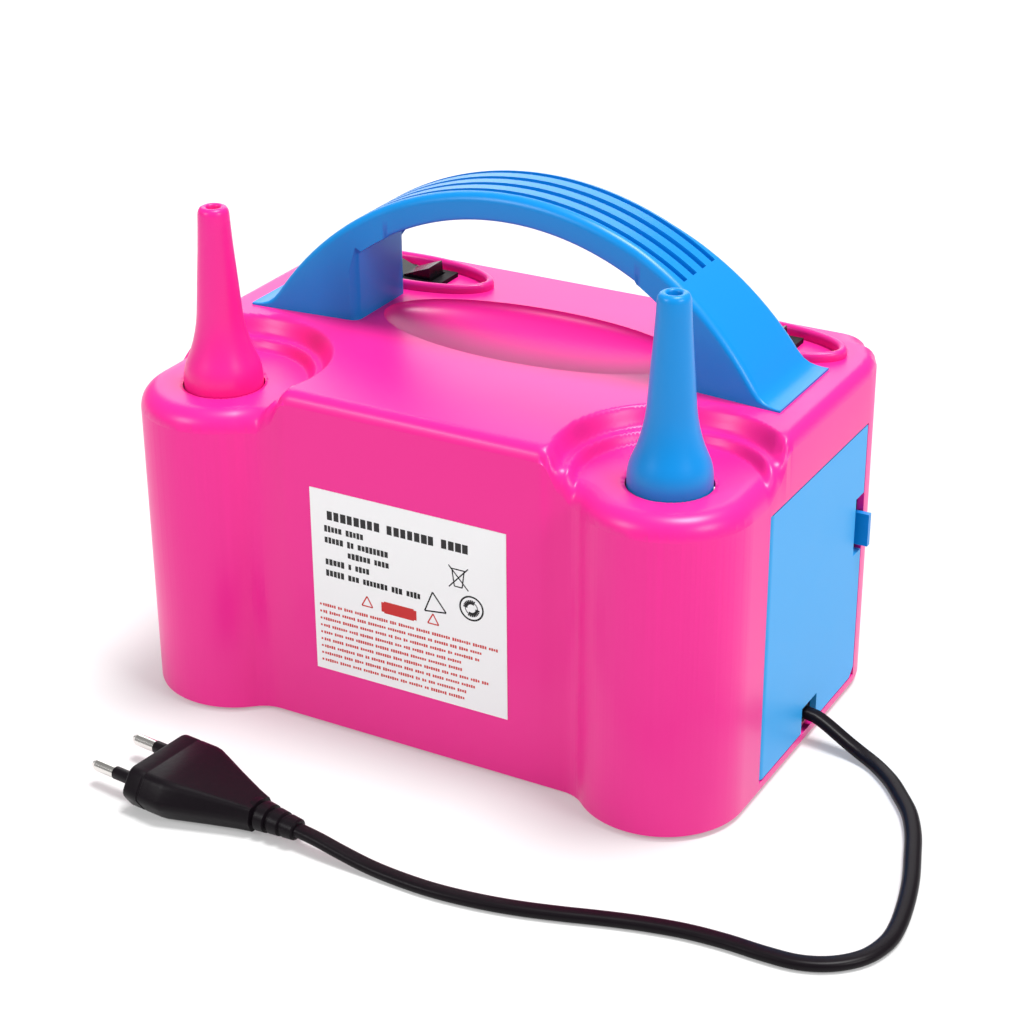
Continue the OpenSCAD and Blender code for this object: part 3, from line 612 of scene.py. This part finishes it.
def add_lamp(name, light, place):
    """Puts a light at a place, aimed at the middle of the pump."""
    lamp = bpy.data.objects.new(name, light)
    lamp.location = place
    aim = Vector(LAMP_TARGET) - Vector(place)
    lamp.rotation_euler = aim.to_track_quat("-Z", "Y").to_euler()
    lamp.visible_camera = False
    bpy.context.scene.collection.objects.link(lamp)


class PUMP_OT_stage(bpy.types.Operator):
    """Add the floor, the lights and the camera"""

    bl_idname = "pump.stage"
    bl_label = "Stage"

    def execute(self, context):
        scene = context.scene
        scene.view_settings.view_transform = "Standard"
        data = bpy.data.cameras.new("camera")
        data.lens = CAMERA_LENS
        data.sensor_width = 36
        data.shift_x, data.shift_y = CAMERA_SHIFT
        data.clip_start = 0.01
        camera = bpy.data.objects.new("camera", data)
        scene.collection.objects.link(camera)
        forward = Vector(CAMERA_FORWARD).normalized()
        right = forward.cross(Vector((0, 0, 1))).normalized()
        up = right.cross(forward)
        roll = math.radians(CAMERA_ROLL)
        right, up = (right * math.cos(roll) + up * math.sin(roll),
                     up * math.cos(roll) - right * math.sin(roll))
        turn = Matrix((right, up, -forward)).transposed().to_4x4()
        camera.matrix_world = Matrix.Translation(CAMERA_PLACE) @ turn
        scene.camera = camera

        bm = bmesh.new()
        bmesh.ops.create_grid(bm, x_segments=2, y_segments=2, size=6000)
        floor = make_object(bm, "floor")
        material = bpy.data.materials.new("floor")
        material.use_nodes = True
        shader = material.node_tree.nodes["Principled BSDF"]
        shader.inputs["Base Color"].default_value = (0.5, 0.5, 0.5, 1)
        shader.inputs["Roughness"].default_value = 0.9
        shader.inputs["Emission Color"].default_value = (1, 1, 1, 1)
        shader.inputs["Emission Strength"].default_value = 0.3
        floor.data.materials.append(material)

        world = bpy.data.worlds.new("studio")
        world.use_nodes = True
        world.node_tree.nodes["Background"].inputs["Color"].default_value = (1, 1, 1, 1)
        world.node_tree.nodes["Background"].inputs["Strength"].default_value = 0.3
        scene.world = world
        power = scene.pump_sizes.lamp_power
        lamps = (
            ("left", (-0.55, -0.9, 0.75), 0.35, power * 0.3),
            ("right", (1.05, -0.25, 0.8), 0.35, power * 0.34),
            ("back", (-0.75, 1.3, 0.8), 1.4, power * 0.7),
        )
        for name, place, size, energy in lamps:
            light = bpy.data.lights.new(name, "AREA")
            light.size = size
            light.energy = energy
            add_lamp(name, light, place)
        sun = bpy.data.lights.new("overhead", "SUN")
        sun.energy = 3.3
        sun.angle = math.radians(20)
        add_lamp("overhead", sun, (0.2, 0.16, 1.2))
        return {"FINISHED"}


class PUMP_OT_plug(bpy.types.Operator):
    """Add the moulded two-pin plug with its grooved boot and pin sleeves"""

    bl_idname = "pump.plug"
    bl_label = "Plug"

    def execute(self, context):
        bm = bmesh.new()
        rise = PIN_Z - ROUTE[-1][2]
        rings = []
        for x, size in ((15.2, 0), (16.0, 0.02), (20, 0.14), (30, 0.51), (38, 0.82),
                        (42, 0.97), (44, 1), (50.2, 1), (50.5, 0.965), (51.1, 0.965),
                        (51.4, 1), (56.2, 1), (56.7, 0.98), (57, 0.94)):
            rings.append(plug_ring(x, 6 + 11.6 * size, 4.6 + 8.4 * size, 4.3 + 2.55 * size,
                                   rise * min(1.0, max(0, x - 15) / 28), 1.2 + 0.9 * size))
        loft(bm, rings)
        rings = []
        for x, r in ((0, 2.7), (0.4, 3.3), (3.9, 3.6), (4.3, 3.0), (5.3, 3.0), (5.7, 3.8),
                     (8.9, 4.1), (9.3, 3.3), (10.3, 3.3), (10.7, 4.4), (13.8, 4.7),
                     (14.2, 3.8), (15.0, 3.8), (15.3, 4.9), (17.5, 4.9)):
            rings.append(on_plug([(x, 1.15 * r * math.cos(t), r * math.sin(t)) for t in
                                  (2 * math.pi * k / 24 for k in range(24))]))
        loft(bm, rings)
        tidy(bm)
        plug = make_object(bm, "plug_shell")
        smooth_shade(plug, 32)
        dress(plug, "plug_pvc", "housing", "plug_body")
        bm = bmesh.new()
        for y in (-PIN_SPACING / 2, PIN_SPACING / 2):
            rings = [on_plug([(x, y + r * math.cos(t), rise + r * math.sin(t)) for t in
                              (2 * math.pi * k / 24 for k in range(24))])
                     for x, r in ((56.5, 2.1), (66.6, 2.1), (67, 1.9))]
            loft(bm, rings)
        tidy(bm)
        sleeves = make_object(bm, "pin_sleeves")
        smooth_shade(sleeves)
        dress(sleeves, "plug_pvc", "housing")
        return {"FINISHED"}


class PUMP_OT_label(bpy.types.Operator):
    """Add the plain printing on the rating label"""

    bl_idname = "pump.label"
    bl_label = "Label print"

    def execute(self, context):
        draw = random.Random(7)
        black, red = bmesh.new(), bmesh.new()
        x = 6.2
        for letters in (8, 7, 4):
            for _ in range(letters):
                stroke(black, (x, 8.6), (x + draw.uniform(1.8, 2.15), 8.6), 3.1)
                x += 2.5
            x += 2.2
        for y, words in ((13.4, (5, 5)), (17.4, (5, 2, 8)), (21.2, (0, 6, 4)), (25.2, (5, 1, 4)),
                         (29.2, (5, 3, 7, 3, 4))):
            x = 5.0
            for letters in words:
                for _ in range(letters):
                    width = draw.uniform(0.95, 1.25)
                    stroke(black, (x, y), (x + width, y), draw.uniform(1.8, 2.3))
                    x += width + 0.3
                x += 1.3 if letters else 8.5
        for line in range(9):
            x, y = 3.2, 41.2 + line * 2.55
            stroke(red, (x - 1.2, y), (x - 0.5, y), 0.7)
            end = draw.uniform(52, 66)
            while x < end:
                for _ in range(draw.randint(2, 8)):
                    stroke(red, (x, y), (x + 0.62, y), draw.uniform(0.75, 1.15))
                    x += 0.84
                x += 0.7
        for k in range(13):
            y = 36.4
            stroke(red, (25.5 + k, y), (26.5 + k, y), 3.4 if k in (0, 12) else 4.2)
        for centre in (20.2, 44.6):
            points = [(centre - 2, 37.7), (centre + 2, 37.7), (centre, 34.1)]
            for a, b in zip(points, points[1:] + points[:1]):
                stroke(red, a, b, 0.45)
        recycle = [(41.6, 33.6), (49.4, 32.6), (44.6, 26.4)]
        for a, b in zip(recycle, recycle[1:] + recycle[:1]):
            stroke(black, a, b, 0.5)
        for k in range(24):
            t, u = 2 * math.pi * k / 24, 2 * math.pi * (k + 1) / 24
            for r, width in ((4.1, 0.6), (2.2, 1.5 if k % 12 < 8 else 0.3)):
                stroke(black, (58.6 + r * math.cos(t), 28.6 + r * math.sin(t)),
                       (58.6 + r * math.cos(u), 28.6 + r * math.sin(u)), width)
        bin_lines = (((51.2, 16.2), (56.8, 16.2)), ((51.8, 16.2), (52.6, 22.2)),
                     ((56.2, 16.2), (55.4, 22.2)), ((52.6, 22.2), (55.4, 22.2)),
                     ((50.6, 15.2), (57.6, 22.8)), ((57.6, 15.2), (50.6, 22.8)))
        for a, b in bin_lines:
            stroke(black, a, b, 0.42)
        for bm, name, slot in ((black, "label_print", "rocker_plastic"),
                               (red, "label_notes", "red_plastic")):
            dress(make_object(bm, name), slot, "housing")
        return {"FINISHED"}


class PUMP_OT_cord(bpy.types.Operator):
    """Add the flat mains cord along its route"""

    bl_idname = "pump.cord"
    bl_label = "Mains cord"

    def execute(self, context):
        path = smooth_path(ROUTE, context.scene.pump_sizes.cord_step / MM)
        section = []
        for cx, start in ((1, -90), (-1, 90)):
            for k in range(7):
                t = math.radians(start + k * 30)
                section.append((cx * (CORD_W - CORD_T) / 2 + CORD_T / 2 * math.cos(t),
                                CORD_T / 2 * math.sin(t)))
        rings = []
        for k, point in enumerate(path):
            along = (path[min(k + 1, len(path) - 1)] - path[max(k - 1, 0)]).normalized()
            side = along.cross(Vector((0, 0, 1))).normalized()
            up = side.cross(along)
            rings.append([point + side * a + up * b for a, b in section])
        bm = bmesh.new()
        loft(bm, rings)
        tidy(bm)
        cord = make_object(bm, "mains_cord")
        smooth_shade(cord, 60)
        dress(cord, "cord_pvc", "housing", "power_cord")
        return {"FINISHED"}


class PUMP_OT_casing(bpy.types.Operator):
    """Add the moulded casing with its two towers, seats and hand dish"""

    bl_idname = "pump.casing"
    bl_label = "Casing"

    def execute(self, context):
        casing = casing_block()
        carve(casing, prism(outline(WALL), -5, TOWER_ROOF_Z))
        for side in (-1, 1):
            carve(casing, box_object((side * 78 - 20, -4, 100), (side * 78 + 20, 60, 115.6)))
            carve(casing, seat_ring(side), "UNION")
            carve(casing, prism(ellipse((side * SEAT_X, SEAT_Y), SEAT_A - SEAT_RIM,
                                        SEAT_B - SEAT_RIM), SEAT_FLOOR, 125))
            carve(casing, box_object(
                (side * SEAT_X - SWITCH_HALF_W, SEAT_Y - SWITCH_HALF_D, 112),
                (side * SEAT_X + SWITCH_HALF_W, SEAT_Y + SWITCH_HALF_D, 119)))
            carve(casing, prism(ellipse((side * TOWER_X, TOWER_Y), WELL_R, WELL_R), 90, 125))
            bm = bmesh.new()
            for row in range(VENT_ROWS):
                low = VENT_Z + row * VENT_STEP
                box(bm, (side * VENT_X - VENT_HALF, REAR_Y - 6, low),
                    (side * VENT_X + VENT_HALF, REAR_Y + 6, low + VENT_H))
            carve(casing, make_object(bm, "cutter"))
        bm = bmesh.new()
        bmesh.ops.create_uvsphere(bm, u_segments=128, v_segments=64, radius=1)
        bmesh.ops.scale(bm, vec=(DISH_A, DISH_B, DISH_DEPTH), verts=bm.verts)
        bmesh.ops.translate(bm, vec=(0, DISH_Y, PLATEAU_Z), verts=bm.verts)
        carve(casing, make_object(bm, "cutter"))
        carve(casing, box_object(DOOR_LOW, DOOR_HIGH))
        smooth_shade(casing, 32)
        roof_normals(casing)
        dress(casing, "pink_plastic", "housing", "upper_casing")
        return {"FINISHED"}


class PUMP_OT_handle(bpy.types.Operator):
    """Add the arched carry handle with its grip grooves"""

    bl_idname = "pump.handle"
    bl_label = "Carry handle"

    def execute(self, context):
        outer = [97, 96.3, 95, 93, 91, 89, 87, 85, 83, 80, 77, 74, 71, 68, 65, 62, 60.2, 59.8]
        inner = [LEG_IN] + [54.5 - 2.5 * k for k in range(22)]
        rings = [handle_ring(-x, False) for x in outer + [LEG_IN]]
        rings += [handle_ring(-x, True) for x in inner]
        rings += [handle_ring(x, True) for x in reversed(inner)]
        rings += [handle_ring(x, False) for x in reversed(outer + [LEG_IN])]
        bm = bmesh.new()
        loft(bm, rings)
        bmesh.ops.remove_doubles(bm, verts=bm.verts, dist=0.001)
        bmesh.ops.dissolve_degenerate(bm, edges=bm.edges, dist=0.0005)
        tidy(bm)
        corners, under = [], []
        for edge in bm.edges:
            a, b = (v.co for v in edge.verts)
            on_side = abs(abs(a.y - HANDLE_Y) - abs(b.y - HANDLE_Y)) < 0.01
            if abs(abs(a.x) - LEG_IN) < 0.01 and abs(a.x - b.x) < 0.01 and abs(a.z - b.z) > 15:
                corners.append(edge)
            elif on_side and max(abs(a.x), abs(b.x)) < LEG_IN and abs(a.x - b.x) > 1 and all(
                    abs(math.hypot(p.x, p.z - ARC_UNDER_Z) - ARC_UNDER_R) < 0.05 for p in (a, b)):
                under.append(edge)
        bevel(bm, corners, 4.0, 5)
        under = [e for e in under if e.is_valid]
        bevel(bm, under, 1.2, 3)
        handle = make_object(bm, "carry_handle_shell")
        smooth_shade(handle, 40)
        dress(handle, "blue_plastic", "housing", "carry_handle")
        return {"FINISHED"}


class PUMP_OT_nozzles(bpy.types.Operator):
    """Add the two tapered press-down nozzles"""

    bl_idname = "pump.nozzles"
    bl_label = "Nozzles"

    def execute(self, context):
        for side, name, slot in ((-1, "left", "pink_plastic"), (1, "right", "blue_plastic")):
            bm = bmesh.new()
            verts = [bm.verts.new((r, 0, z)) for r, z in NOZZLE_PROFILE]
            edges = [bm.edges.new(pair) for pair in zip(verts, verts[1:] + verts[:1])]
            bmesh.ops.spin(bm, geom=verts + edges, cent=(0, 0, 0), axis=(0, 0, 1),
                           angle=2 * math.pi, steps=72, use_merge=True)
            tidy(bm)
            bmesh.ops.translate(bm, vec=(side * TOWER_X, TOWER_Y, 0), verts=bm.verts)
            nozzle = make_object(bm, name + "_nozzle_shell")
            smooth_shade(nozzle, 40)
            dress(nozzle, slot, name + "_nozzle", name + "_nozzle")
        return {"FINISHED"}


class PUMP_OT_springs(bpy.types.Operator):
    """Add the nozzle springs, which shorten as a nozzle is pressed"""

    bl_idname = "pump.springs"
    bl_label = "Nozzle springs"

    def execute(self, context):
        for side in ("left", "right"):
            bm = bmesh.new()
            bm.from_mesh(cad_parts[side + "_nozzle_spring"].data)
            bmesh.ops.remove_doubles(bm, verts=bm.verts, dist=1e-6)
            bmesh.ops.scale(bm, vec=(1 / MM, 1 / MM, 1 / MM), verts=bm.verts)
            spring = make_object(bm, side + "_spring_coil")
            smooth_shade(spring, 50)
            dress(spring, "spring_steel", "housing", side + "_nozzle_spring")
            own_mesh(spring)
        return {"FINISHED"}


class PUMP_OT_finishes(bpy.types.Operator):
    """Give every kept frame part its finish"""

    bl_idname = "pump.finishes"
    bl_label = "Frame finishes"

    def execute(self, context):
        given = {}
        for slot, names in FINISHES.items():
            for name in names:
                given[name] = slot
        inner = {
            "seal": "black_rubber", "spring": "spring_steel", "duct": "ivory_nylon",
            "trigger_switch": "black_plastic", "button": "red_plastic", "housing": "ivory_nylon",
            "fan_cover": "ivory_nylon", "impeller": "ivory_nylon", "stator": "lamination_steel",
            "coils": "copper_wire", "armature": "lamination_steel",
            "commutator": "copper_segments", "bearings": "bearing_bronze",
            "brush_holders": "brush_brass", "bracket": "zinc_steel", "screws": "zinc_steel",
            "pins": "zinc_steel", "terminal": "ivory_nylon", "mains_lead": "cord_pvc",
        }
        for name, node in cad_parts.items():
            slot = given.get(name)
            if slot is None and not node.hide_render:
                slot = next(s for word, s in inner.items() if word in name)
            if slot:
                node.data.materials.clear()
                node.data.materials.append(finish(slot))
        return {"FINISHED"}


class PUMP_PT_panel(bpy.types.Panel):
    """Sidebar panel that lists the pump's pieces"""

    bl_label = "Balloon Pump"
    bl_idname = "PUMP_PT_panel"
    bl_space_type = "VIEW_3D"
    bl_region_type = "UI"
    bl_category = "Pump"

    def draw(self, context):
        for group in (context.scene.pump_colours, context.scene.pump_sizes):
            for name in group.__annotations__:
                self.layout.prop(group, name)
        for operator in OPERATORS:
            self.layout.operator(operator.bl_idname)


OPERATORS = (
    PUMP_OT_stage, PUMP_OT_plug, PUMP_OT_cord, PUMP_OT_casing, PUMP_OT_handle,
    PUMP_OT_nozzles, PUMP_OT_springs, PUMP_OT_label, PUMP_OT_finishes,
)
CLASSES = (PumpColours, PumpSizes, *OPERATORS, PUMP_PT_panel)


def register():
    for cls in CLASSES:
        bpy.utils.register_class(cls)
    bpy.types.Scene.pump_colours = PointerProperty(type=PumpColours)
    bpy.types.Scene.pump_sizes = PointerProperty(type=PumpSizes)


def unregister():
    del bpy.types.Scene.pump_sizes
    del bpy.types.Scene.pump_colours
    for cls in reversed(CLASSES):
        bpy.utils.unregister_class(cls)


def main():
    register()
    for operator in OPERATORS:
        group, name = operator.bl_idname.split(".")
        getattr(getattr(bpy.ops, group), name)()


if __name__ == "__main__":
    main()
